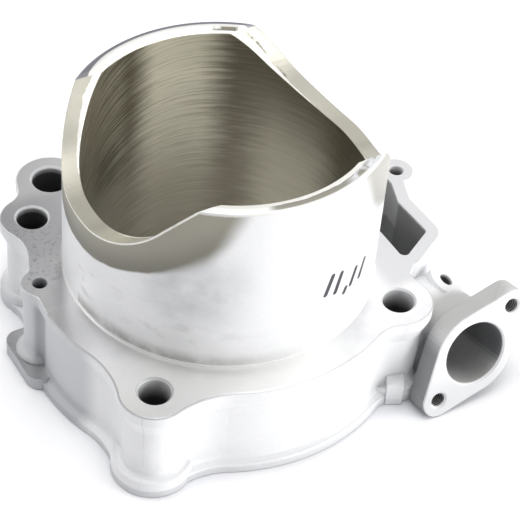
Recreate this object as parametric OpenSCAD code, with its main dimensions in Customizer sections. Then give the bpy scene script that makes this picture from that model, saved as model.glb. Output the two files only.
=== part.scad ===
// Engine cylinder of a liquid-cooled single, cast in one piece.
// It stands on its head-gasket face. +Z runs up the bore towards the skirt, +X runs along the
// crank towards the chain tunnel, and the origin is on the bore axis at the head-gasket face.

/* [Bore and skirt] */
// Bore diameter
bore_d = 96; // [88:0.5:102]
// Wall of the sleeve
sleeve_wall = 5.8; // [4.5:0.1:6.2]
// Height of the front skirt tab above the deck
front_tab_h = 66.8; // [64:0.1:76]
// Height of the back skirt tab above the deck
back_tab_h = 59.6; // [55:0.1:68]
// Height of the left scallop floor above the deck
left_floor_h = 38.6; // [34:0.1:42]
// Height of the scallop floor on the tunnel side above the deck
right_floor_h = 36.4; // [34:0.1:42]
// Half-width of the flat part of a scallop floor
scallop_half_w = 5.6; // [3:0.1:8]
// Radius between a scallop floor and its flanks
scallop_r = 34.6; // [28:0.1:38]
// Angle of the front scallop flanks from the deck
front_flank_angle = 56; // [52:1:60]
// Angle of the back flank of the left scallop from the deck
left_back_angle = 47; // [44:1:53]
// Angle of the back flank of the scallop on the tunnel side from the deck
right_back_angle = 52; // [44:1:53]
// Offset of both scallops towards the back
scallop_offset = 1.7; // [0:0.1:3]
// Width of the lead-in chamfer on the tabs
lead_in_w = 2.6; // [1:0.1:3.5]
// Depth of the lead-in chamfer on the tabs
lead_in_h = 1.1; // [0.8:0.1:4]
// Chamfer of the outer edge of the tabs
tab_edge = 0.7; // [0.3:0.1:1]

/* [Body] */
// Height of the deck above the head-gasket face
deck_h = 36.8; // [33:0.1:42]
// Metal between the water jacket and the outside
body_wall = 5.8; // [5:0.1:7]
// Radius of the broken deck edge
deck_edge_r = 0.5; // [0.3:0.1:1.5]
// Thickness of the deck plate at its edge
plate_h = 4.2; // [3:0.1:6]
// Height of the taper under the deck plate
taper_h = 8; // [6:0.5:10]
// Set-back of the walls under the deck plate
wall_inset = 1.4; // [0.5:0.1:1.8]
// Set-back of the stud columns under the deck plate
column_inset = 2.3; // [1.5:0.1:2.6]
// Set-back of the left pillar under the deck plate
pillar_inset = 0.9; // [0.5:0.1:1.5]
// Reach of the head flange beyond the walls
flange_lip = 3.2; // [2.9:0.1:3.6]
// Reach of the head flange beyond the stud columns
stud_lip = 4; // [2.9:0.1:4.6]
// Reach of the head flange beyond the back left stud column
back_lip = 2.8; // [2.8:0.1:3.6]
// Thickness of the head flange along the barrel
flange_t = 3.4; // [2.8:0.1:5]
// Thickness of the head flange round the studs
flange_stud_t = 6.3; // [5.2:0.1:8]
// Radius of the fillet above the head flange
flange_fillet_r = 3.2; // [2:0.1:3.5]
// Thickness of the lug beside the left pillar
lug_t = 5.2; // [4:0.1:7]

/* [Water jacket] */
// Width of the open water jacket
jacket_w = 5.7; // [4.5:0.1:6.5]
// Depth of the water jacket from the head face
jacket_depth = 28; // [22:0.5:29]
// Wall left round each stud hole inside the jacket
stud_boss_wall = 1.8; // [1.2:0.1:2.5]

/* [Studs and small holes] */
// Diameter of the stud holes
stud_d = 11; // [9.5:0.1:12]
// Half-spacing of the studs along X
stud_x = 46.8; // [46:0.1:48]
// Half-spacing of the studs along Y
stud_y = 45.8; // [45:0.1:47]
// Offset of the stud pattern away from the tunnel
stud_offset_x = -2.8; // [-3:0.1:0]
// Offset of the stud pattern along Y
stud_offset_y = -1; // [-2:0.1:1]
// Radius of the lobes round the studs
stud_lobe_r = 12; // [11:0.1:13]
// Radius of the lobe round the back left stud
back_lobe_r = 11.3; // [10.5:0.1:12.5]
// Chamfer at the mouth of the stud holes
stud_chamfer = 0.7; // [0.3:0.1:1.2]
// Diameter of the dowel counterbores in the head face
dowel_d = 14; // [13:0.1:15]
// Depth of the dowel counterbores
dowel_depth = 7; // [4:0.5:10]
// Place of the oil drain from the back left stud along X
drain_x = 14.4; // [12:0.1:17]
// Place of the oil drain from the back left stud along Y
drain_y = 15.6; // [13:0.1:18]
// Diameter of the oil drain hole
drain_d = 13; // [10:0.1:13.5]
// Radius of the lobe round the oil drain
drain_lobe_r = 12.2; // [11:0.1:13]
// Diameter of the small through bolt holes
small_d = 5.2; // [4.4:0.1:5.6]
// Radius of the pillars round the small bolt holes
small_lobe_r = 6.1; // [5.5:0.1:7]
// Place of the left small hole along Y
left_pillar_y = 14.2; // [10:0.1:18]
// Place of the right small hole along Y
right_pillar_y = 10.3; // [8:0.1:14]
// Reach of the right small hole beyond the barrel
right_pillar_reach = 14.9; // [14:0.1:17]

/* [Chain tunnel] */
// Length of the chain tunnel between its corner centres
tunnel_l = 54.6; // [50:0.1:58]
// Width of the chain tunnel between its corner centres
tunnel_w = 10.5; // [9:0.1:12]
// Gap between the sleeve and the inner corner centres of the tunnel
tunnel_gap = 5.2; // [4:0.1:7]
// Wall round the chain tunnel
tunnel_wall = 4.5; // [3.5:0.1:5.2]
// Corner radius of the chain tunnel
tunnel_corner_r = 2.1; // [1.2:0.1:3]

/* [Water neck] */
// Reach of the neck flange in front of the right stud
neck_reach = 20; // [17:0.1:23]
// Drop of the neck flange centre below the deck
neck_drop = 17.6; // [16:0.1:19]
// Length of the neck pipe from the flange to the bend
neck_l = 28.4; // [26:0.1:30]
// Diameter of the water passage at the neck
neck_d = 23.5; // [20:0.1:24.5]
// Wall round the water passage
neck_wall = 3.8; // [3:0.1:4.5]
// Tilt of the neck flange towards the deck
neck_tilt = 15; // [5:1:20]
// Thickness of the neck flange
neck_flange_t = 8.5; // [7:0.5:10]
// Distance from the neck bore to each ear bolt
ear_reach = 20.6; // [19.5:0.1:21.5]
// Turn of the line through the ear bolts
ear_angle = 40.7; // [30:1:50]
// Radius of the flange ears
ear_r = 6.2; // [5.5:0.1:6.8]
// Tapping size of the ear bolts
ear_d = 5; // [4.2:0.1:5.5]
// Depth of the ear holes
ear_depth = 8.5; // [7.5:0.5:9.5]
// Depth of the hole in the slanted lug
lug_depth = 7; // [5:0.5:7.5]
// Depth of the round water passage from the neck flange
passage_l = 23; // [21:0.5:23.5]

/* [Hidden] */
$fn = 96;

bore_r = bore_d / 2;
sleeve_r = bore_r + sleeve_wall;
jacket_in_r = sleeve_r;
jacket_out_r = jacket_in_r + jacket_w;
barrel_r = jacket_out_r + body_wall;

// Depth by which blended surfaces cross, so that none only touch
cross = 0.03;

// Stud, drain and pillar centres
front_left = [stud_offset_x - stud_x, stud_offset_y - stud_y];
front_right = [stud_offset_x + stud_x, stud_offset_y - stud_y];
back_left = [stud_offset_x - stud_x, stud_offset_y + stud_y];
back_right = [stud_offset_x + stud_x, stud_offset_y + stud_y];
studs = [front_left, front_right, back_left, back_right];
drain = back_left + [drain_x, drain_y];
left_pillar = [-barrel_r + 4.1, left_pillar_y];
right_pillar = [barrel_r + right_pillar_reach, right_pillar_y];

// Corner centres of the chain tunnel, anticlockwise from its front inner corner
tunnel_in_x = sleeve_r + tunnel_gap;
tunnel_out_x = tunnel_in_x + tunnel_w;
tunnel_end = tunnel_l / 2;
tunnel_outline = [
    [tunnel_in_x, -tunnel_end],
    [tunnel_out_x + 0.4, -21],
    [tunnel_out_x - 0.2, -4.2],
    [tunnel_out_x + 3.1, 5.2],
    [tunnel_out_x + 3.1, 19],
    [tunnel_out_x, tunnel_end],
    [tunnel_in_x, tunnel_end]];
tunnel_out_r = tunnel_corner_r + tunnel_wall;

// Neck flange centre and the lug over the neck
neck_at = [barrel_r - 0.1, front_right[1] - neck_reach, deck_h - neck_drop];
neck_bend = neck_at + [-0.5, neck_l, -neck_l * tan(neck_tilt)];
neck_r = neck_d / 2 + neck_wall;
lug_at = [neck_at[0] + 4.9, neck_at[1] + neck_l - 0.8, deck_h - 8.2];
lug_tilt = [27, -25];

// Centre of a circle of radius rf that touches two circles from outside, left of the line c1 to c2
function touch(c1, r1, c2, r2, rf) =
    let (
        d = c2 - c1,
        l = norm(d),
        a = r1 + rf,
        b = r2 + rf,
        x = (a * a - b * b + l * l) / (2 * l),
        y = sqrt(max(0, a * a - x * x)))
    c1 + d / l * x + [-d[1], d[0]] / l * y;

// Points on an arc
function arc_pts(c, r, a0, a1, n) =
    [for (i = [0:n]) let (a = a0 + (a1 - a0) * i / n) c + r * [cos(a), sin(a)]];

// Offset of the deck plate from its plan outline, from the end of its taper up to the deck
function plate_edge() = concat(
    [[-column_inset - 0.7, deck_h - plate_h - taper_h], [0, deck_h - plate_h]],
    arc_pts([-deck_edge_r, deck_h - deck_edge_r], deck_edge_r, 0, 90, 3));

// Offset of the walls from their plan outline, from the head face up into the deck plate
function foot_edge(flange, lip) = concat(
    [[lip, 0], [lip, flange - 0.5], [lip - 0.5, flange]],
    arc_pts([flange_fillet_r, flange + flange_fillet_r], flange_fillet_r, 250, 180, 3),
    [[0, deck_h - deck_edge_r - 0.6]]);

// Round lobe of radius r whose side follows the given edge
module lobe(c, r, edge) {
    last = edge[len(edge) - 1];
    translate(c)
        rotate_extrude()
            polygon(concat([[0, edge[0][1]]], [for (p = edge) [r + p[0], p[1]]], [[0, last[1]]]));
}

// Concave web that joins two round lobes with a fillet of radius rf
module web(c1, r1, c2, r2, rf, edge) {
    cf = touch(c1, r1, c2, r2, rf);
    rc = rf + cross;
    first = edge[0];
    last = edge[len(edge) - 1];
    difference() {
        translate([0, 0, first[1]])
            linear_extrude(last[1] - first[1])
                polygon([c1, cf, c2]);
        translate(cf)
            rotate_extrude()
                polygon(concat([[0, first[1] - 1], [rc - first[0], first[1] - 1]],
                    [for (p = edge) [rc - p[0], p[1]]],
                    [[rc - last[0], last[1] + 1], [0, last[1] + 1]]));
    }
}

// Plan outline with round corners of radius r
module round_outline(pts, r) {
    polygon(pts);
    n = len(pts);
    for (i = [0:n - 1]) {
        a = pts[i];
        b = pts[(i + 1) % n];
        d = (b - a) / norm(b - a);
        side = [d[1], -d[0]] * (r - cross);
        translate(a)
            circle(r);
        polygon([a, a + side, b + side, b]);
    }
}

// Outside of the casting up to the deck: the set-back walls on the flange, and the deck plate
module barrel() {
    skin(1, foot_edge(flange_t, flange_lip), foot_edge(flange_stud_t, stud_lip),
        foot_edge(flange_stud_t, back_lip));
    skin(0, plate_edge(), plate_edge(), plate_edge());
    // solid deck between the back left stud and the oil drain
    linear_extrude(deck_h)
        polygon([[0, 0], back_left, drain]);
}

// Lobes and webs of the outside, set back under the deck plate where k is 1
module skin(k, wall, column, small) {
    o = [0, 0];
    rb = barrel_r - k * wall_inset;
    rs = stud_lobe_r - k * column_inset;
    rl = back_lobe_r - k * column_inset;
    rd = drain_lobe_r - k * column_inset;
    rp = small_lobe_r + 0.5 - k * pillar_inset;
    lobe(o, rb, wall);
    for (s = [front_left, front_right, back_right])
        lobe(s, rs, column);
    lobe(back_left, rl, small);
    lobe(drain, rd, column);
    lobe(left_pillar, rp, small);
    // front, from the left lobe round to the tunnel
    web(o, rb, front_left, rs, 31, wall);
    web(front_left, rs, o, rb, 31, wall);
    web(o, rb, front_right, rs, 14, wall);
    web(front_right, rs, o, rb, 14, wall);
    // back, from the tunnel round to the left wall
    web(back_right, rs, o, rb, 14, wall);
    web(o, rb, back_right, rs, 14, wall);
    web(drain, rd, o, rb, 16, wall);
    web(back_left, rl, drain, rd, 8, wall);
    web(o, rb, back_left, rl, 16, wall);
    // pillar on the left wall
    web(left_pillar, rp, o, rb, 4, wall);
    web(o, rb, left_pillar, rp, 4, wall);
}

// Housing of the chain tunnel with the right pillar
module tunnel_housing() {
    linear_extrude(deck_h)
        union() {
            round_outline(tunnel_outline, tunnel_out_r);
            polygon([front_right, tunnel_outline[0] - [0, tunnel_out_r - 0.2], tunnel_outline[1], [40, 0]]);
            polygon([back_right, [40, 0], tunnel_outline[5], tunnel_outline[6] + [0, tunnel_out_r - 0.2]]);
        }
    translate(right_pillar)
        cylinder(r = small_lobe_r, h = deck_h);
    translate([right_pillar[0] - 8, right_pillar[1] - small_lobe_r, 0])
        cube([8, 2 * small_lobe_r, deck_h]);
}

// Lugs of the head flange
module flange_lugs() {
    // round-cornered lug under the left pillar
    linear_extrude(lug_t)
        round_outline([[-52, 20.5], [-barrel_r - 0.3, 20.5], [-barrel_r - 0.3, 5.3], [-52, 5.3]], 5.2);
    // square locating block beside the neck
    translate([35.5, -barrel_r + 6.6, 0])
        rotate([0, 0, -28])
            cube([5.8, 7.5, 10]);
}

// Water neck: flange with two ears, pipe, bend and the lug on top
module neck_frame() {
    translate(neck_at)
        rotate([90 - neck_tilt, 0, 0])
            children();
}
function ear(side) = side * ear_reach * [cos(ear_angle), sin(ear_angle)];

module neck_body() {
    neck_frame() {
        // flange plate with its two ears
        translate([0, 0, -neck_flange_t])
            linear_extrude(neck_flange_t) {
                circle(neck_r + 0.5);
                for (s = [-1, 1]) {
                    translate(ear(s))
                        circle(ear_r);
                    ear_web(s);
                }
            }
        // ear bosses behind the flange
        for (s = [-1, 1])
            translate([ear(s)[0], ear(s)[1], -ear_depth - 1.5])
                cylinder(r1 = ear_r - 1.5, r2 = ear_r, h = ear_depth + 1);
        translate([0, 0, -32])
            cylinder(r = neck_r - 0.6, h = 32);
    }
    intersection() {
        translate(neck_bend + [-6, -2, 0])
            sphere(r = neck_r + 3);
        translate([barrel_r - 20, neck_bend[1] - 30, 0])
            cube([60, 60, deck_h - 3]);
    }
    lug_frame()
        translate([0, 0, -23])
            cylinder(r = 6.5, h = 23);
    // blend of the lug into the pipe and the right stud lobe
    hull() {
        lug_frame()
            translate([0, 0, -7])
                cylinder(r = 6.4, h = 2, $fn = 32);
        translate(front_right + [2, 2])
            cylinder(r = 6, h = deck_h - 10, $fn = 32);
        translate(neck_bend + [0, -8, 0])
            sphere(r = neck_r - 1, $fn = 32);
    }
}

module lug_frame() {
    translate(lug_at)
        rotate([0, lug_tilt[0], lug_tilt[1]])
            children();
}

// Straight sides that run from the round of the flange to an ear
module ear_web(s) {
    d = ear(s) / ear_reach;
    r1 = neck_r + 0.5 - cross;
    r2 = ear_r - cross;
    k = (r1 - r2) / ear_reach;
    c = sqrt(1 - k * k);
    up = [d[0] * k - d[1] * c, d[1] * k + d[0] * c];
    down = [d[0] * k + d[1] * c, d[1] * k - d[0] * c];
    polygon([[0, 0], up * r1, ear(s) + up * r2, ear(s), ear(s) + down * r2, down * r1]);
}

// Water passage from the neck to the jacket
module neck_passage() {
    neck_frame() {
        translate([0, 0, -passage_l])
            cylinder(d = neck_d, h = passage_l + 4);
        translate([0, 0, -0.7])
            cylinder(d1 = neck_d, d2 = neck_d + 1.6, h = 0.8);
        for (s = [-1, 1])
            translate([ear(s)[0], ear(s)[1], -ear_depth])
                cylinder(d = ear_d, h = ear_depth + 1);
        for (s = [-1, 1])
            translate([ear(s)[0], ear(s)[1], -0.8])
                cylinder(d1 = ear_d, d2 = ear_d + 1.8, h = 0.9);
    }
    // elbow from the end of the passage into the jacket
    translate([jacket_out_r - 13, -39, 6])
        cube([neck_at[0] - jacket_out_r + 11, 6.4, 12]);
    translate([neck_at[0] - 10.7, -47.5, 6])
        cube([8.7, 14.9, 12]);
    lug_frame()
        translate([0, 0, -lug_depth])
            cylinder(d = ear_d, h = lug_depth + 1);
}

// Open jacket, cut from the head face
module jacket() {
    difference() {
        translate([0, 0, -1])
            cylinder(r = jacket_out_r, h = jacket_depth + 1);
        translate([0, 0, -2])
            cylinder(r = jacket_in_r, h = jacket_depth + 4);
        translate([jacket_in_r - 12, 0.5 - tunnel_end, -2])
            cube([tunnel_w + 30, tunnel_l - 1, jacket_depth + 4]);
        for (s = studs)
            translate([s[0], s[1], -2])
                cylinder(d = stud_d + 2 * stud_boss_wall, h = jacket_depth + 4);
    }
}

// Hole through the deck with a chamfered mouth
module deck_hole(c, d, chamfer) {
    translate([c[0], c[1], -1])
        cylinder(d = d, h = deck_h + 2);
    translate([c[0], c[1], deck_h - chamfer])
        cylinder(d1 = d, d2 = d + 2 * chamfer + 0.2, h = chamfer + 0.1);
}

// Everything above a tab: flat face, lead-in to the bore and chamfer of the outer edge
module tab_trim(top, turn) {
    rotate_extrude(angle = turn)
        polygon([
            [0, top - lead_in_h],
            [bore_r, top - lead_in_h],
            [bore_r + lead_in_w, top],
            [sleeve_r - tab_edge, top],
            [sleeve_r + 1, top - tab_edge - 1],
            [sleeve_r + 1, deck_h + front_tab_h + 1],
            [0, deck_h + front_tab_h + 1]]);
}

// Sleeve with its two tabs and two scallops
module sleeve() {
    difference() {
        cylinder(r = sleeve_r, h = deck_h + front_tab_h);
        tab_trim(deck_h + front_tab_h, 360);
        tab_trim(deck_h + back_tab_h, 180);
        scallop_cut(-sleeve_r - 1, left_floor_h, left_back_angle);
        scallop_cut(0, right_floor_h, right_back_angle);
    }
}

// Scallop cut over one half of the sleeve, from x0 towards the tunnel side
module scallop_cut(x0, floor_h, back_angle) {
    translate([x0, 0, 0])
        rotate([90, 0, 90])
            translate([scallop_offset, deck_h + floor_h])
                linear_extrude(sleeve_r + 1)
                    scallop(front_tab_h + 1 - floor_h, back_angle);
}

// Side view of a scallop with its floor on the X axis, from the front flank to the back flank
module scallop(top, back_angle) {
    polygon(concat(
        [flank_top(front_flank_angle, top, -1)],
        arc_pts([-scallop_half_w, scallop_r], scallop_r, 270 - front_flank_angle, 270, 14),
        arc_pts([scallop_half_w, scallop_r], scallop_r, 270, 270 + back_angle, 14),
        [flank_top(back_angle, top, 1)]));
}
function flank_top(angle, top, side) =
    let (
        y = scallop_r * (1 - cos(angle)),
        x = scallop_half_w + scallop_r * sin(angle) + (top - y) / tan(angle))
    [side * x, top];

// The whole casting
module cylinder_casting() {
    difference() {
        union() {
            barrel();
            tunnel_housing();
            flange_lugs();
            neck_body();
            sleeve();
        }
        translate([0, 0, -1])
            cylinder(r = bore_r, h = deck_h + front_tab_h + 2, $fn = 180);
        jacket();
        translate([0, 0, -1])
            linear_extrude(deck_h + 2)
                round_outline(tunnel_outline, tunnel_corner_r);
        for (s = studs)
            deck_hole(s, stud_d, stud_chamfer);
        deck_hole(drain, drain_d, stud_chamfer);
        deck_hole(left_pillar, small_d, 0.3);
        deck_hole(right_pillar, small_d, 0.3);
        for (s = [front_left, back_right])
            translate([s[0], s[1], -1])
                cylinder(d = dowel_d, h = dowel_depth + 1);
        neck_passage();
        // trim below the head face
        translate([-2 * barrel_r, -2 * barrel_r, -barrel_r])
            cube([4 * barrel_r, 4 * barrel_r, barrel_r]);
    }
}

module cylinder_node() {
    color([0.78, 0.78, 0.79])
        cylinder_casting();
}

cylinder_node();  // cylinder
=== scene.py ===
"""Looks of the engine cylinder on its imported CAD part: cast, milled and plated aluminium on white."""
import math
from types import SimpleNamespace

import bpy
from mathutils import Matrix, Vector

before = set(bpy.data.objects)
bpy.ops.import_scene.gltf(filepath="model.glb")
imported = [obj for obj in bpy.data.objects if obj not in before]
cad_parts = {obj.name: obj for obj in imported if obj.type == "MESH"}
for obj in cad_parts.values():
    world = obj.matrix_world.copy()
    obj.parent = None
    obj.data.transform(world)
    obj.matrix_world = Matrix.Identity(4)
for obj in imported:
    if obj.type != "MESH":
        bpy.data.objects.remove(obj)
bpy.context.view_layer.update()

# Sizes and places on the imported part, in millimetres; angles about the bore's axis are in degrees, 0 at +X.
# Left, right, front and back are as the camera sees the part.
MM_PER_M = 1000.0
BORE_R = 48.0
SLEEVE_R = 53.8
DECK_H = 36.8
FRONT_TAB_H = 103.6
BACK_TAB_H = 96.4
FLANGE_H = 3.4
LUG_TOP_H = 5.2
STUD_R = 5.5
FRONT_LEFT_STUD = (-49.6, -46.8)
LEFT_PILLAR = (-63.6, 7.6)
PILLAR_HOLE_R = 2.6

# Holes in the deck: x, y, radius, how dark the painted shade in them gets, and the depth from which it is
# that dark
HOLES = (
    (*FRONT_LEFT_STUD, STUD_R, 0.93, 9.0),
    (44.0, -46.8, STUD_R, 0.93, 9.0),
    (-49.6, 44.8, STUD_R, 0.96, 3.0),
    (44.0, 44.8, STUD_R, 0.9, 9.0),
    (-35.2, 60.4, 6.5, 0.95, 3.0),
    (-61.2, 14.2, PILLAR_HOLE_R, 0.96, 5.0),
    (80.2, 10.3, PILLAR_HOLE_R, 0.95, 5.0),
)

# The chain tunnel: its span and middle along X, and half its length along Y; then the tapped holes' radius
TUNNEL_X = (56.5, 75.0)
TUNNEL_MID_X = 64.5
TUNNEL_HALF_L = 30.2
TAPPED_R = 2.5

# The left scallop: height of its floor, radius of its corners, half its flat floor, y of its middle,
# and the angle of the flank on either side of that middle
SCALLOP_FLOOR_H = 75.4
SCALLOP_R = 34.6
SCALLOP_FLAT = 5.6
SCALLOP_MID_Y = 1.7
FLANK_ANGLES = ((1, 47.0), (-1, 56.0))

# The olive plating below each scallop ends on a circle about an axis along X, and both its ends are slanted
PLATING_R = 60.3
PLATING_AXIS_LEFT_H = 124.8
PLATING_AXIS_TUNNEL_H = 122.6
PLATING_END_H = 101.0

# The neck's flange: centre of its face and its tilt, then its passage and an ear hole in its own frame
NECK = (65.2, -66.8, 19.2)
NECK_TILT = math.radians(15.0)
PASSAGE_R = 11.9
EAR_HOLE = (15.62, 13.43)

# The slanted lug's tapped hole: centre of its mouth and its axis
LUG_HOLE = (70.1, -39.2, 28.6)
LUG_AXIS = (0.4115, -0.1919, 0.891)

# Marker strokes on the unrolled sleeve: each runs from one place to another, along the sleeve and up it
STROKES = (
    (-76.0, 60.2, -73.6, 67.4),
    (-71.6, 58.8, -69.4, 66.2),
    (-66.9, 55.8, -66.2, 57.4),
    (-63.6, 57.2, -61.4, 63.0),
    (-58.4, 56.8, -55.9, 63.0),
)
STROKE_HALF_W = (1.08, 0.8)

# Where the painted shade on the deck's edge fades in front, and the heights between which the honing arcs
# grow strong
FRONT_EDGE_DEG = (-126.0, -108.0)
HONING_FADE_H = (18.0, 66.0)

# In metres: reach of the painted shade in corners and of the painted shadow on the floor, rounding of the
# edges, height of the relief
CORNER_REACH = 0.009
SHADOW_REACH = 0.02
CAST_EDGE_R = 0.0005
MILLED_EDGE_R = 0.00005
RELIEF_H = 0.0001

# Softboxes on a sphere about the part: name, azimuth, elevation, side in metres, power in watts
SOFTBOXES = (
    ("right", 0.0, 12.0, 0.7, 2.3),
    ("top", 0.0, 88.0, 0.7, 6.1),
    ("mirror", 42.0, 46.0, 0.7, 2.2),
    ("back_low", 90.0, 12.0, 0.7, 1.1),
    ("back", 135.0, 45.0, 0.7, 5.5),
    ("left", 180.0, 45.0, 0.7, 0.9),
    ("front", 270.0, 25.0, 0.7, 2.6),
    ("front_right", 315.0, 12.0, 0.7, 11.6),
    ("rim", 312.0, 52.0, 0.3, 0.35),
)
SOFTBOX_DISTANCE = 1.2
SOFTBOX_AIM = Vector((0.0, 0.0, 0.04))

# The light of the dark part of the room, and the floor's side and gap below the part in metres
DARK_ROOM = 0.02
FLOOR_SIZE = 6.0
FLOOR_GAP = 0.0002

# The camera that was fitted to the photo: place in metres, axes, and sensor and lens in millimetres
CAMERA_AT = Vector((-0.25582, -0.40941, 0.49273))
CAMERA_RIGHT = Vector((0.86339, -0.50009, 0.06679))
CAMERA_UP = Vector((0.30356, 0.62065, 0.72294))
CAMERA_AHEAD = Vector((0.40299, 0.60391, -0.68768))
SENSOR_W = 36.0
FOCAL_LENGTH = 133.11

# Colours of the cast skin, and of the painted shade on it
CAST_GREY = (0.875, 0.88, 0.89)
CAST_PALE = (0.905, 0.905, 0.91)
CAST_STAIN = (0.80, 0.81, 0.82)
# painted shade in corners
CORNER_GREY = (0.42, 0.43, 0.45)
# painted shade on the flange's side
FLANGE_GREY = (0.60, 0.605, 0.62)
# painted shade on the left walls
LEFT_WALL_GREY = (0.50, 0.51, 0.53)
PILLAR_SHADE = (0.26, 0.27, 0.29)
PARTING_GREY = (0.62, 0.63, 0.65)
# painted shade over the highlight on the rounded edge below the deck
DECK_EDGE_GREY = (0.52, 0.52, 0.53)
# painted shade behind the neck's flange, on the pipe's top and down the flange's face
NECK_SIDE_SHADE = (0.17, 0.175, 0.18)
NECK_TOP_GREY = (0.52, 0.515, 0.50)
NECK_FACE_GREY = (0.66, 0.665, 0.67)

# Colours of the milled faces, with painted light and shade
MILLED_GREY = (0.74, 0.74, 0.755)
MILLED_PALE = (0.82, 0.82, 0.825)
# painted shade at the deck's sides and back left, and painted light in front
MILLED_SHADE = (0.64, 0.64, 0.65)
MILLED_LEFT_SHADE = (0.69, 0.69, 0.71)
MILLED_LIT = (1.0, 1.0, 0.98)
# dark of the pits, and of the painted shade on the left lug's top
MILLED_DARK = (0.35, 0.35, 0.36)
# painted shade over the highlight on the deck's very edge
MILLED_LIP = (0.42, 0.42, 0.43)

# Colours on the outside of the sleeve, with painted shade and painted highlights
# painted shade on the sleeve's front left
SLEEVE_SHADE = (0.60, 0.61, 0.62)
# painted highlight on the left scallop's outer edge
SCALLOP_EDGE_HIGHLIGHT = (0.97, 0.96, 0.90)
PLATING_OLIVE = (0.34, 0.325, 0.265)
PLATING_END = (0.19, 0.182, 0.145)
FOOT_BELT = (0.36, 0.36, 0.335)
FOOT_STAIN = (0.45, 0.45, 0.44)
# painted highlight where the sleeve meets the deck
ROOT_HIGHLIGHT = (0.97, 0.97, 0.96)
INK = (0.05, 0.05, 0.055)

# Colours of the rim, with painted highlights
RIM_OLIVE = (0.58, 0.563, 0.485)
RIM_OLIVE_PALE = (0.64, 0.622, 0.54)
# darker low on the scallops' floors
RIM_LOW_DARK = (0.49, 0.475, 0.405)
# painted highlight on a lead-in chamfer along the flanks
FLANK_STRIP = (0.97, 0.955, 0.91)
FLANK_STREAK = (0.2, 0.19, 0.16)
BACK_TAB_PALE = (0.97, 0.96, 0.93)
BACK_TAB_EDGE = (0.25, 0.25, 0.275)
WORN_SPOT = (0.16, 0.15, 0.12)
FRONT_TAB_INNER = (0.85, 0.84, 0.76)
FRONT_TAB_OLIVE = (0.34, 0.325, 0.28)
# painted highlight on the front tab's outer chamfer
FRONT_TAB_OUTER = (0.95, 0.95, 0.93)
FRONT_TAB_END = (0.95, 0.945, 0.92)
NICK = (0.28, 0.27, 0.24)
FRONT_TAB_RIGHT = (0.80, 0.81, 0.83)

# Colours of the bore, with its painted reflections, and of the painted shade in hollows
BORE_DARK = (0.19, 0.172, 0.125)
BORE_MIDDLE = (0.42, 0.39, 0.305)
# arcs lit by a painted reflection
BORE_ARC = (0.62, 0.585, 0.48)
# lit copies of the plating, for the painted reflection of the lamps
BORE_LIT = (0.56, 0.53, 0.40)
BORE_LIT_PALE = (0.92, 0.88, 0.72)
BORE_LIT_TOP = (0.70, 0.67, 0.52)
# painted dark reflection at the left
BORE_POCKET = (0.05, 0.045, 0.035)
BORE_FRONT = (0.12, 0.115, 0.09)
# painted shade in the holes, the tunnel and the passage
HOLLOW_SHADE = (0.03, 0.03, 0.03)
# painted shade in the thread grooves
THREAD_SHADE = (0.05, 0.045, 0.04)

# Colours of the floor and the room
WHITE = (1.0, 1.0, 1.0)
# painted shadow on the floor near the part
FLOOR_SHADE = (0.66, 0.67, 0.70)
FLOOR_WHITE = (0.93, 0.93, 0.95)
ROOM = (0.95, 0.97, 1.0)


class Value:
    """A number, vector, colour or shader in a node tree; arithmetic on it adds math nodes to the tree."""

    def __init__(self, tree, socket):
        self.tree = tree
        self.socket = socket

    def __add__(self, other):
        return calculate("ADD", self, other)

    def __sub__(self, other):
        return calculate("SUBTRACT", self, other)

    def __rsub__(self, other):
        return calculate("SUBTRACT", other, self)

    def __mul__(self, other):
        return calculate("MULTIPLY", self, other)

    def __truediv__(self, other):
        return calculate("DIVIDE", self, other)

    def __abs__(self):
        return calculate("ABSOLUTE", self)


def add_node(tree, kind, inputs, **properties):
    """A new node, with its inputs linked or set by name or place."""
    node = tree.nodes.new(kind)
    for name, setting in properties.items():
        setattr(node, name, setting)
    for key, value in inputs.items():
        socket = node.inputs[key]
        if isinstance(value, Value):
            tree.links.new(value.socket, socket)
        elif isinstance(value, tuple):
            socket.default_value = value + (1.0,) * (len(socket.default_value) - len(value))
        else:
            socket.default_value = value
    return node


def output(tree, kind, name, inputs=None, **properties):
    """One output of a new node."""
    return Value(tree, add_node(tree, kind, inputs or {}, **properties).outputs[name])


def calculate(operation, *values):
    """The result of a math node, in the tree of the first value that is in one."""
    tree = next(value.tree for value in values if isinstance(value, Value))
    return output(tree, "ShaderNodeMath", 0, dict(enumerate(values)), operation=operation)


def most(first, *others):
    """The largest of the values."""
    for other in others:
        first = calculate("MAXIMUM", first, other)
    return first


def hypotenuse(a, b):
    return calculate("SQRT", a * a + b * b)


def ramp(value, zero_at, one_at, smooth=True):
    """0 where the value is zero_at or beyond it, 1 where it is one_at or beyond it."""
    inputs = {"Value": value, "From Min": zero_at, "From Max": one_at}
    form = "SMOOTHSTEP" if smooth else "LINEAR"
    return output(value.tree, "ShaderNodeMapRange", 0, inputs, interpolation_type=form, clamp=True)


def band(value, first, last, soft):
    """1 between first and last, falling to 0 over soft on both sides."""
    return ramp(value, first - soft, first + soft) * ramp(value, last + soft, last - soft)


def mix(share, under, over):
    """Two colours mixed: all under at share 0, all over at share 1."""
    return output(share.tree, "ShaderNodeMix", 2, {0: share, 6: under, 7: over}, data_type="RGBA")


def blend(share, under, over):
    """Two numbers mixed: all under at share 0, all over at share 1."""
    return output(share.tree, "ShaderNodeMix", 0, {0: share, 2: under, 3: over}, data_type="FLOAT")


def vector(x, y, z):
    return output(x.tree, "ShaderNodeCombineXYZ", 0, {0: x, 1: y, 2: z})


def parts(place):
    """The x, y and z of a vector."""
    node = add_node(place.tree, "ShaderNodeSeparateXYZ", {0: place})
    return [Value(place.tree, socket) for socket in node.outputs]


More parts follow.
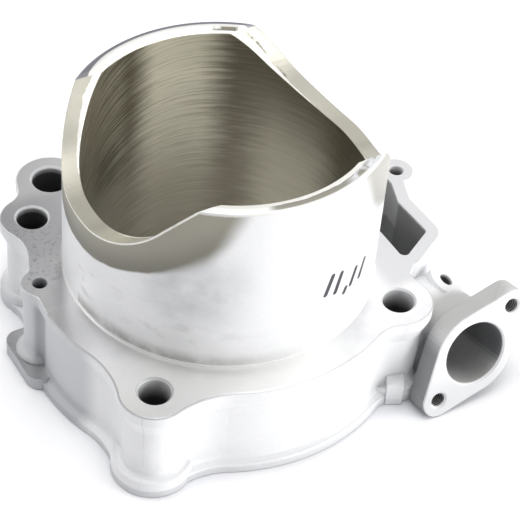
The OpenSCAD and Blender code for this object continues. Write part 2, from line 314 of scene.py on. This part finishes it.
def noise(place, scale, detail, roughness=0.55):
    inputs = {"Vector": place, "Scale": scale, "Detail": detail, "Roughness": roughness}
    return output(place.tree, "ShaderNodeTexNoise", 0, inputs)


def openness(tree, distance, samples):
    """How open a point is to its surroundings within a distance: 1 in the open, 0 in a closed corner."""
    return output(tree, "ShaderNodeAmbientOcclusion", "AO", {"Distance": distance}, samples=samples)


def empty_material(name):
    """A new material whose node tree is still empty."""
    material = bpy.data.materials.new(name)
    material.use_nodes = True
    material.node_tree.nodes.clear()
    return material


def set_surface(tree, inputs):
    """The material's surface, with these inputs."""
    surface = output(tree, "ShaderNodeBsdfPrincipled", 0, inputs)
    add_node(tree, "ShaderNodeOutputMaterial", {0: surface})


def place_on_part(tree):
    """Where a point lies on the part, which way its surface looks, and the noises that vary it."""
    coord = output(tree, "ShaderNodeTexCoord", "Object")
    x, y, z = [part * MM_PER_M for part in parts(coord)]
    nx, ny, nz = parts(output(tree, "ShaderNodeNewGeometry", "True Normal"))
    radius = hypotenuse(x, y)
    turn = calculate("ARCTAN2", y, x)
    # the honing arcs are noise stretched round the bore, and bowed at its left
    bow = most(turn - 1.2, 0.0)
    arc = z + bow * bow * 14.0
    return SimpleNamespace(
        tree=tree, coord=coord, x=x, y=y, z=z, nx=nx, ny=ny, nz=nz, radius=radius, turn=turn,
        deg=turn * math.degrees(1.0),
        outward=(x * nx + y * ny) / radius,
        neck=place_on_neck(x, y, z),
        grain=noise(coord, 900.0, 3.0),
        stain=noise(coord, 28.0, 3.0),
        cloud=noise(coord, 120.0, 4.0),
        hone=noise(vector(turn * 0.9, arc * 0.8, 0.0), 1.5, 6.0, 0.78),
        streak=noise(vector(turn * 2.0, arc * 0.35, 3.0), 1.3, 4.0, 0.65),
    )


def place_on_neck(x, y, z):
    """Place in the neck flange's frame: across its face, up it, and out of it."""
    cosine, sine = math.cos(NECK_TILT), math.sin(NECK_TILT)
    dy = y - NECK[1]
    dz = z - NECK[2]
    return x - NECK[0], dy * sine + dz * cosine, dz * sine - dy * cosine


def kinds_of_surface(at):
    """Masks of the bore, the sleeve's outside, its rim, the deck, the left lug's top and all milled faces."""
    above = ramp(at.z, DECK_H + 0.05, DECK_H + 0.15) * ramp(at.radius, SLEEVE_R + 0.4, SLEEVE_R + 0.3)
    up = ramp(at.nz, 0.9, 0.98)
    bore = ramp(at.radius, BORE_R + 0.3, BORE_R + 0.2) * ramp(at.outward, -0.5, -0.8)
    outside = ramp(at.radius, SLEEVE_R - 0.3, SLEEVE_R - 0.2) * ramp(at.outward, 0.6, 0.8) * above
    rim = above * (1.0 - bore) * (1.0 - outside)
    deck = up * band(at.z, DECK_H - 0.1, DECK_H + 0.1, 0.05)
    lug = up * band(at.z, LUG_TOP_H - 0.1, LUG_TOP_H + 0.1, 0.05) * ramp(at.x, -60.0, -61.0)
    return SimpleNamespace(bore=bore, outside=outside, rim=rim, deck=deck, lug=lug, milled=most(deck, lug))


def cast_colour(at, on):
    """Cast skin with fine grain and stains, and painted shade in corners, on the flange's side, on the left
    walls, beside the left pillar, behind the neck and on the edge below the deck.
    """
    colour = mix(ramp(at.grain, 0.3, 0.7), CAST_GREY, CAST_PALE)
    colour = mix(ramp(at.stain, 0.45, 0.75) * 0.15, colour, CAST_STAIN)
    # painted shade in corners, stronger towards the left
    closed = ramp(openness(at.tree, CORNER_REACH, 4), 0.85, 0.35, smooth=False) * (1.0 - on.outside)
    colour = mix(closed * blend(ramp(at.x, 25.0, 40.0), 0.5, 0.25), colour, CORNER_GREY)
    # painted shade on the flange's side, stronger at the left
    flange = ramp(at.z, FLANGE_H - 0.1, FLANGE_H - 1.1) * ramp(at.radius, 60.0, 61.0)
    flange = flange * ramp(at.deg, -158.0, -148.0) * blend(ramp(at.deg, -125.0, -110.0), 0.7, 0.3)
    colour = mix(flange, colour, FLANGE_GREY)
    # painted shade on the left walls, darker towards the bottom
    left = ramp(at.x, -54.0, -59.0) * band(at.y, -22.0, 52.0, 4.0)
    left = left * blend(ramp(at.y, 22.0, 30.0), 1.0, 0.45)
    colour = mix(left * blend(ramp(at.z, 8.0, 5.0), 0.6, 0.95), colour, LEFT_WALL_GREY)
    beside = hypotenuse(at.x - LEFT_PILLAR[0], at.y - LEFT_PILLAR[1])
    shade = ramp(beside, 4.2, 1.4) * ramp(at.z, DECK_H - 2.3, DECK_H - 6.8)
    colour = mix(shade * 0.62, colour, PILLAR_SHADE)
    colour = mix(parting_line(at), colour, PARTING_GREY)
    colour = neck_colour(colour, at)
    # painted shade over the highlight that the rounded edge below the deck catches, weaker in front
    painted_edge = ramp(at.z, DECK_H - 0.7, DECK_H - 0.45) * ramp(at.z, DECK_H + 0.06, DECK_H + 0.02)
    return mix(painted_edge * blend(ramp(at.deg, *FRONT_EDGE_DEG), 1.0, 0.25), colour, DECK_EDGE_GREY)


def parting_line(at):
    """A faint upright line on the column of the front left stud."""
    dx = at.x - FRONT_LEFT_STUD[0]
    dy = at.y - FRONT_LEFT_STUD[1]
    line = band(calculate("ARCTAN2", dy, dx), -2.400, -2.366, 0.012)
    line = line * ramp(hypotenuse(dx, dy), 8.0, 8.3) * ramp(at.x, -52.0, -53.0)
    return line * ramp(at.cloud, 0.3, 0.6) * 0.45


def neck_colour(colour, at):
    """Painted shade behind the neck's flange, darkest on the sides and lighter on the pipe's top, and painted
    shade on the flange's face, darker towards its bottom.
    """
    upward, out = at.neck[1:]
    start = blend(ramp(at.nx, -0.4, -0.6), 47.0, 38.5)
    behind = ramp(at.x - start, 0.0, 5.0) * ramp(at.y, -42.0, -48.0)
    behind = behind * ramp(out, -0.3, -0.9) * ramp(at.z, DECK_H + 2.5, DECK_H - 0.2)
    side = behind * ramp(at.nz, 0.84, 0.4) * ramp(upward, 17.0, 3.0)
    top = behind * ramp(at.nz, 0.4, 0.84)
    face = ramp(at.x, 40.0, 41.0) * band(out, -0.3, 0.3, 0.05)
    colour = mix(side * 0.88, colour, NECK_SIDE_SHADE)
    colour = mix(top * 0.8, colour, NECK_TOP_GREY)
    return mix(face * ramp(upward, 8.0, -14.0), colour, NECK_FACE_GREY)


def deck_colour(at, on):
    """Milled deck with painted shade at both sides and at the back left, painted light in front and at the
    back, and pits at the left; the left lug's top and the deck's very edge in painted shade.
    """
    colour = mix(ramp(at.cloud, 0.3, 0.7), MILLED_GREY, MILLED_PALE)
    # painted shade at the left side
    colour = mix(band(at.deg, -176.0, -160.0, 8.0), colour, MILLED_SHADE)
    # painted light in front, a reflection of the bright sleeve
    colour = mix(band(at.deg, -149.0, -75.0, 12.0) * 0.97, colour, MILLED_LIT)
    # painted shade at the right side
    colour = mix(ramp(at.x, 42.0, 48.0) * ramp(at.y, -44.0, -38.0), colour, MILLED_SHADE)
    # painted shade at the back left, and painted light at the back
    colour = mix(ramp(at.x, -30.0, -45.0) * band(at.y, 25.0, 52.0, 4.0), colour, MILLED_LEFT_SHADE)
    colour = mix(ramp(at.x, -20.0, -30.0) * ramp(at.y, 52.0, 60.0), colour, WHITE)
    # painted shade on the left lug's top
    colour = mix(on.lug * 0.62, colour, MILLED_DARK)
    pits = ramp(noise(at.coord, 700.0, 2.0), 0.56, 0.68)
    pits = pits * ramp(at.x, -38.0, -52.0) * band(at.y, 12.0, 46.0, 6.0)
    colour = mix(pits * 0.5, colour, MILLED_DARK)
    # painted shade over the highlight on the deck's very edge, weaker in front
    lip = ramp(at.nz, 0.995, 0.985) * blend(ramp(at.deg, *FRONT_EDGE_DEG), 1.0, 0.2)
    return mix(lip, colour, MILLED_LIP)


def sleeve_colour(colour, at, on):
    """Outside of the sleeve: painted shade at the front left, olive plating, a painted highlight on the left
    scallop's edge, the foot and the marker.
    """
    # painted shade on the sleeve's front left
    front_left_shade = band(at.deg, -146.0, -114.0, 10.0) * band(at.z, 58.0, 82.0, 9.0) * ramp(at.cloud, 0.0, 0.8)
    colour = mix(on.outside * front_left_shade, colour, SLEEVE_SHADE)
    share, olive = plating(at)
    colour = mix(on.outside * share, colour, olive)
    # painted highlight along the left scallop's outer edge
    painted_edge = ramp(below_scallop(at), 0.75, 0.5) * ramp(abs(at.deg), 110.0, 112.0) * ramp(at.cloud, 0.25, 0.45)
    colour = mix(on.outside * painted_edge, colour, SCALLOP_EDGE_HIGHLIGHT)
    colour = sleeve_foot_colour(colour, at, on)
    return mix(on.outside * marker(at), colour, INK)


def plating(at):
    """Where the olive plating runs down below each scallop, and its colour."""
    turn = abs(at.deg)
    tunnel_side = ramp(turn, 91.0, 89.0)
    away = abs(turn - 90.0)
    axis_h = blend(tunnel_side, PLATING_AXIS_LEFT_H, PLATING_AXIS_TUNNEL_H)
    reach = hypotenuse(at.y, at.z - axis_h) + (at.cloud - 0.5) * 1.6
    soft = blend(ramp(away, 60.0, 30.0), 0.5, 3.6)
    end = away + (at.stain - 0.5) * 9.0 - (PLATING_END_H - at.z) * 0.5
    share = ramp(reach, soft + PLATING_R, PLATING_R - soft) * ramp(end, 19.5, 28.5)
    olive = mix(ramp(PLATING_R - reach, 0.0, 11.0), PLATING_END, PLATING_OLIVE)
    return share * blend(tunnel_side, 1.0, 0.75), olive


def below_scallop(at):
    """Distance below the edge that the left scallop cuts in the sleeve."""
    distances = []
    rise = at.z - (SCALLOP_FLOOR_H + SCALLOP_R)
    for side, angle in FLANK_ANGLES:
        cosine, sine = math.cos(math.radians(angle)), math.sin(math.radians(angle))
        across = most((at.y - SCALLOP_MID_Y) * side - SCALLOP_FLAT, 0.0)
        corner = hypotenuse(across, rise)
        flank = across * sine - rise * cosine
        past_corner = ramp(across * cosine + rise * sine, -0.01, 0.01)
        distances.append(blend(past_corner, corner, flank) - SCALLOP_R)
    return most(*distances)


def sleeve_foot_colour(colour, at, on):
    """A darker belt and stains above the sleeve's foot, and a painted highlight along the line where it meets
    the deck.
    """
    belt = ramp(at.z, DECK_H + 0.8, DECK_H + 1.2) * ramp(at.z, DECK_H + 7.0, DECK_H + 1.5)
    belt = belt * ramp(at.deg, -75.0, -145.0) * ramp(at.cloud, 0.2, 0.6)
    colour = mix(on.outside * belt * 0.8, colour, FOOT_BELT)
    drops = noise(vector(at.turn * 2.2, at.z * 0.09, 1.0), 1.6, 5.0, 0.6)
    stain = ramp(drops, 0.52, 0.7) * ramp(at.z, 66.0, 50.0) * ramp(at.deg, -95.0, -150.0)
    colour = mix(on.outside * stain * 0.45, colour, FOOT_STAIN)
    # painted highlight along the line where the sleeve meets the deck
    on_sleeve = on.outside * ramp(at.z, DECK_H + 0.75, DECK_H + 0.5)
    on_deck = on.deck * ramp(at.radius, SLEEVE_R + 0.7, SLEEVE_R + 0.45)
    return mix(most(on_sleeve, on_deck), colour, ROOT_HIGHLIGHT)


def marker(at):
    """Plain slanted marker strokes, which form no characters."""
    strokes = []
    along_sleeve = at.turn * SLEEVE_R
    for start_s, start_z, end_s, end_z in STROKES:
        length = math.hypot(end_s - start_s, end_z - start_z)
        way_s = (end_s - start_s) / length
        way_z = (end_z - start_z) / length
        ds = along_sleeve - start_s
        dz = at.z - start_z
        nearest = calculate("MINIMUM", most(ds * way_s + dz * way_z, 0.0), length)
        strokes.append(ramp(hypotenuse(ds - nearest * way_s, dz - nearest * way_z), *STROKE_HALF_W))
    return most(*strokes)


def rim_colour(at):
    """Cut faces of the rim: dull olive, a strip beside the bore on the flanks painted as a highlight, and
    both tabs.
    """
    colour = mix(ramp(at.cloud, 0.3, 0.7), RIM_OLIVE, RIM_OLIVE_PALE)
    # darker low on the scallops' floors
    low_dark = ramp(at.z, BACK_TAB_H - 4.4, BACK_TAB_H - 12.4)
    low_dark = low_dark * ramp(abs(at.y + 3.0), 30.0, 16.0) * ramp(at.y, -12.0, -6.0)
    colour = mix(low_dark, colour, RIM_LOW_DARK)
    front_tab = ramp(at.z, FRONT_TAB_H - 4.6, FRONT_TAB_H - 2.6) * ramp(at.y, 0.0, -5.0)
    colour = mix(front_tab, colour, front_tab_colour(at))
    # the strip is a painted highlight on a lead-in chamfer that the shape lacks; it is wide at the top of a
    # flank and gone near its foot, with worn streaks along its edge
    flank = ramp(at.nz, 0.97, 0.93)
    up_flank = ramp(at.z, SCALLOP_FLOOR_H - 3.4, BACK_TAB_H - 4.4, smooth=False)
    width = up_flank * ((at.cloud - 0.5) * 3.0 + 1.9)
    past_strip = at.radius - BORE_R - width
    colour = mix(flank * ramp(past_strip, 0.25, -0.05), colour, FLANK_STRIP)
    worn = flank * ramp(at.x, 0.0, 5.0) * band(past_strip, 0.1, 0.75, 0.25) * ramp(at.cloud, 0.5, 0.62)
    colour = mix(worn, colour, FLANK_STREAK)
    # back tab: bright lead-in, a grey band along its outer edge that widens to the left, and a worn spot
    back = ramp(at.z, BACK_TAB_H - 4.4, BACK_TAB_H - 2.4) * ramp(at.y, 10.0, 15.0)
    back = back * (1.0 - flank * ramp(at.z, BACK_TAB_H - 0.8, BACK_TAB_H - 1.2))
    outer_grey = ramp(at.radius + ramp(at.deg, 112.0, 134.0) * 1.4, SLEEVE_R - 2.2, SLEEVE_R - 1.6)
    colour = mix(back, colour, mix(outer_grey, BACK_TAB_PALE, BACK_TAB_EDGE))
    spot = back * ramp(at.deg + at.cloud * 8.0, 77.0, 72.0) * band(at.radius, BORE_R + 0.9, BORE_R + 2.6, 0.4)
    return mix(spot * ramp(at.cloud, 0.38, 0.5), colour, WORN_SPOT)


def front_tab_colour(at):
    """Pale inner edge, a painted highlight on the outer edge, olive between them, white with a dark nick at
    the left end.
    """
    colour = mix(ramp(at.radius, BORE_R + 0.6, BORE_R + 1.1), FRONT_TAB_INNER, FRONT_TAB_OLIVE)
    # painted highlight on the outer chamfer
    colour = mix(ramp(at.radius, SLEEVE_R - 1.8, SLEEVE_R - 1.0), colour, FRONT_TAB_OUTER)
    colour = mix(ramp(at.deg + at.cloud * 6.0, -98.5, -103.5), colour, FRONT_TAB_END)
    nick = band(at.deg, -106.0, -99.0, 1.5) * band(at.radius, BORE_R + 1.1, BORE_R + 1.9, 0.3)
    colour = mix(nick * 0.8, colour, NICK)
    return mix(ramp(at.deg, -76.0, -68.0) * ramp(at.cloud, 0.35, 0.5), colour, FRONT_TAB_RIGHT)


def bore_colour(at):
    """Honed plating with painted reflections: arcs lighter at the left where they catch a painted reflection,
    a painted band of reflected light in the middle and a weaker one at the right, a painted dark reflection
    at the left, and darker on the front higher up.
    """
    ragged = at.deg + (at.streak - 0.5) * 16.0
    strong = blend(ramp(at.z, *HONING_FADE_H), 0.3, 0.95) * blend(ramp(at.deg, 102.0, 120.0), 1.0, 0.65)
    arcs = blend(strong * blend(ramp(at.deg, 70.0, 50.0), 1.0, 0.4), 0.5, at.hone)
    dark = mix(ramp(arcs, 0.38, 0.68), BORE_DARK, BORE_MIDDLE)
    # arcs at the left painted lighter, a painted reflection
    left = ramp(at.deg, 102.0, 112.0) * ramp(at.z, 30.0, 60.0) * ramp(at.hone, 0.42, 0.56)
    dark = mix(left * 0.95, dark, BORE_ARC)
    # lit copies of the plating, used where the lamps' reflection is painted
    lit = mix(ramp(arcs, 0.34, 0.56), BORE_LIT, BORE_LIT_PALE)
    lit = mix(ramp(at.z, 80.0, 88.0) * 0.4, lit, BORE_LIT_TOP)
    # painted reflection of the lamps: a broad band in the middle and a weaker one at the right
    painted_reflection = band(ragged, 64.0, 97.0, 8.0) * blend(ramp(at.z, 22.0, 64.0), 0.2, 1.0)
    right = band(ragged, 10.0, 46.0, 10.0) * ramp(at.z, 90.0, 45.0) * 0.5
    colour = mix(most(painted_reflection, right), dark, lit)
    # painted dark reflection at the left
    pocket = band(ragged, 109.0, 126.0, 5.0) * band(at.z, 41.0, 59.0, 7.0)
    colour = mix(pocket * 0.4, colour, BORE_POCKET)
    front = ramp(at.z, DECK_H + 2.0, DECK_H + 22.0) * ramp(at.deg, 8.0, -4.0)
    return mix(front * 0.12, colour, BORE_FRONT), painted_reflection


def hollows(at):
    """Painted shade deep in the holes, the chain tunnel and the water passage: lighter on a ledge in the
    tunnel and mottled in the passage.
    """
    depths = []
    for x, y, radius, darkness, depth in HOLES:
        within = ramp(hypotenuse(at.x - x, at.y - y), radius + 0.12, radius + 0.06)
        depths.append(within * ramp(at.z, DECK_H - 0.5, DECK_H - depth, smooth=False) * darkness)
    inward = (TUNNEL_MID_X - at.x) * at.nx - at.y * 0.5 * at.ny
    tunnel = ramp(inward, 0.0, 0.5) * ramp(at.z, DECK_H - 0.05, DECK_H - 1.5)
    tunnel = tunnel * band(at.y, -TUNNEL_HALF_L, TUNNEL_HALF_L, 0.1) * band(at.x, *TUNNEL_X, 0.1)
    ledge = band(at.y, -5.0, 12.0, 0.8) * ramp(at.z + at.y * 0.4, 22.0, 23.5)
    depths.append(tunnel * blend(ledge, 0.71, 0.47))
    across, upward, out = at.neck
    passage = ramp(hypotenuse(across, upward), PASSAGE_R, PASSAGE_R - 0.05) * ramp(out, -0.7, -4.0)
    blotches = (noise(at.coord, 130.0, 4.0) - 0.5) * 0.5
    depths.append(passage * (blend(ramp(across, 4.0, -8.0), 0.28, 0.16) + blotches))
    depths.append(lug_hole(at))
    return most(*depths)


def lug_hole(at):
    """Painted shade deep in the slanted lug's tapped hole."""
    dx = at.x - LUG_HOLE[0]
    dy = at.y - LUG_HOLE[1]
    dz = at.z - LUG_HOLE[2]
    along = dx * LUG_AXIS[0] + dy * LUG_AXIS[1] + dz * LUG_AXIS[2]
    off_axis = calculate("SQRT", dx * dx + dy * dy + dz * dz - along * along)
    return ramp(off_axis, TAPPED_R + 0.12, TAPPED_R + 0.05) * ramp(along, -0.3, -1.5) * 0.9


def ear_threads(at):
    """Painted shade in the thread grooves of the two ear holes, one turn to a millimetre."""
    rings = []
    across, upward, out = at.neck
    for side in (-1, 1):
        ear_x = across - side * EAR_HOLE[0]
        ear_y = upward - side * EAR_HOLE[1]
        hole = ramp(hypotenuse(ear_x, ear_y), TAPPED_R + 0.12, TAPPED_R + 0.05)
        hole = hole * ramp(out, 0.5, 0.2) * ramp(out, -10.0, -9.0)
        helix = out * math.tau + calculate("ARCTAN2", ear_y, ear_x)
        rings.append(hole * ramp(calculate("SINE", helix), -0.4, 0.4) * 0.95)
    return most(*rings)


def relief(at, on):
    """Fine grain on the cast skin and honing lines in the bore, over slightly rounded edges."""
    smooth = most(on.bore, on.rim, on.milled, on.outside)
    lines = (at.hone + at.streak) * blend(ramp(at.z, *HONING_FADE_H), 0.35, 0.8)
    height = at.grain * (1.0 - smooth) * 0.5 + on.bore * lines
    rounding = {"Radius": blend(on.milled, CAST_EDGE_R, MILLED_EDGE_R)}
    rounded = output(at.tree, "ShaderNodeBevel", 0, rounding, samples=6)
    inputs = {"Strength": 0.22, "Distance": RELIEF_H, "Height": height, "Normal": rounded}
    return output(at.tree, "ShaderNodeBump", 0, inputs)


def casting_material():
    """The casting's one surface, split by place and direction into cast, milled, cut and plated."""
    material = empty_material("casting")
    at = place_on_part(material.node_tree)
    on = kinds_of_surface(at)
    bore, painted_reflection = bore_colour(at)
    colour = mix(on.milled, cast_colour(at, on), deck_colour(at, on))
    colour = sleeve_colour(colour, at, on)
    colour = mix(on.rim, colour, rim_colour(at))
    colour = mix(on.bore, colour, bore)
    colour = mix(hollows(at), colour, HOLLOW_SHADE)
    colour = mix(ear_threads(at), colour, THREAD_SHADE)
    metallic = blend(most(on.bore, on.rim), 0.15, 0.9 - on.bore * painted_reflection * 0.45)
    roughness = blend(on.milled, 0.55, 0.28)
    roughness = blend(on.rim, roughness, 0.47)
    roughness = blend(on.outside, roughness, 0.42)
    set_surface(at.tree, {
        "Base Color": colour,
        "Metallic": blend(on.milled, metallic, 0.8),
        "Roughness": blend(on.bore, roughness, blend(at.streak, 0.28, 0.44)),
        "Normal": relief(at, on),
    })
    return material


def floor_material():
    """White floor with a painted shadow, greyer and glowing less close to the part, that glows to plain white
    in the distance.
    """
    material = empty_material("floor")
    tree = material.node_tree
    # painted shadow: less open places near the part get greyer and glow less
    open_sky = ramp(openness(tree, SHADOW_REACH, 8), 0.1, 0.75, smooth=False)
    x, y, _ = parts(output(tree, "ShaderNodeTexCoord", "Object"))
    far = ramp(hypotenuse(x, y), 0.3, 0.9)
    set_surface(tree, {
        "Base Color": mix(open_sky, FLOOR_SHADE, FLOOR_WHITE),
        "Roughness": 0.9,
        "Specular IOR Level": 0.1,
        "Emission Color": WHITE,
        "Emission Strength": open_sky * 0.15 + far * seen_directly(tree),
    })
    return material


def seen_directly(tree):
    """1 for rays of the camera, of mirror images and through glass, 0 for those that only carry light."""
    kinds = ("Is Camera Ray", "Is Glossy Ray", "Is Transmission Ray")
    return most(*(output(tree, "ShaderNodeLightPath", kind) for kind in kinds))


def dress_casting():
    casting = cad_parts["cylinder"]
    casting.data.materials.clear()
    casting.data.materials.append(casting_material())


def add_floor():
    bpy.ops.mesh.primitive_plane_add(size=FLOOR_SIZE, location=(0.0, 0.0, -FLOOR_GAP))
    floor = bpy.context.object
    floor.name = "floor"
    floor.data.materials.append(floor_material())


def add_world():
    """White for the camera, a white sweep that fades out upwards for mirror images, otherwise a dark room."""
    world = bpy.data.worlds.new("studio")
    bpy.context.scene.world = world
    world.use_nodes = True
    tree = world.node_tree
    tree.nodes.clear()
    height = parts(output(tree, "ShaderNodeTexCoord", "Generated"))[2]
    sweep = most(ramp(height, 0.5, 0.2), DARK_ROOM)
    white = most(output(tree, "ShaderNodeLightPath", "Is Camera Ray"), sweep)
    seen = output(tree, "ShaderNodeBackground", 0, {0: WHITE, 1: white})
    room = output(tree, "ShaderNodeBackground", 0, {0: ROOM, 1: DARK_ROOM})
    either = output(tree, "ShaderNodeMixShader", 0, {0: seen_directly(tree), 1: room, 2: seen})
    add_node(tree, "ShaderNodeOutputWorld", {0: either})


def add_softboxes():
    for name, azimuth, elevation, side, power in SOFTBOXES:
        turn = math.radians(azimuth)
        rise = math.radians(elevation)
        way = Vector((math.cos(turn) * math.cos(rise), math.sin(turn) * math.cos(rise), math.sin(rise)))
        data = bpy.data.lights.new(name, "AREA")
        data.shape = "RECTANGLE"
        data.size = side
        data.size_y = side
        data.energy = power
        lamp = bpy.data.objects.new(name, data)
        bpy.context.collection.objects.link(lamp)
        lamp.location = SOFTBOX_AIM + way * SOFTBOX_DISTANCE
        lamp.rotation_euler = (-way).to_track_quat("-Z", "Y").to_euler()


def add_camera():
    data = bpy.data.cameras.new("view")
    data.sensor_width = SENSOR_W
    data.lens = FOCAL_LENGTH
    data.clip_start = 0.01
    data.clip_end = 20.0
    camera = bpy.data.objects.new("view", data)
    bpy.context.collection.objects.link(camera)
    pose = Matrix((CAMERA_RIGHT, CAMERA_UP, -CAMERA_AHEAD)).transposed().to_4x4()
    pose.translation = CAMERA_AT
    camera.matrix_world = pose
    bpy.context.scene.camera = camera


dress_casting()
add_floor()
add_world()
add_softboxes()
add_camera()
bpy.context.scene.view_settings.view_transform = "Standard"
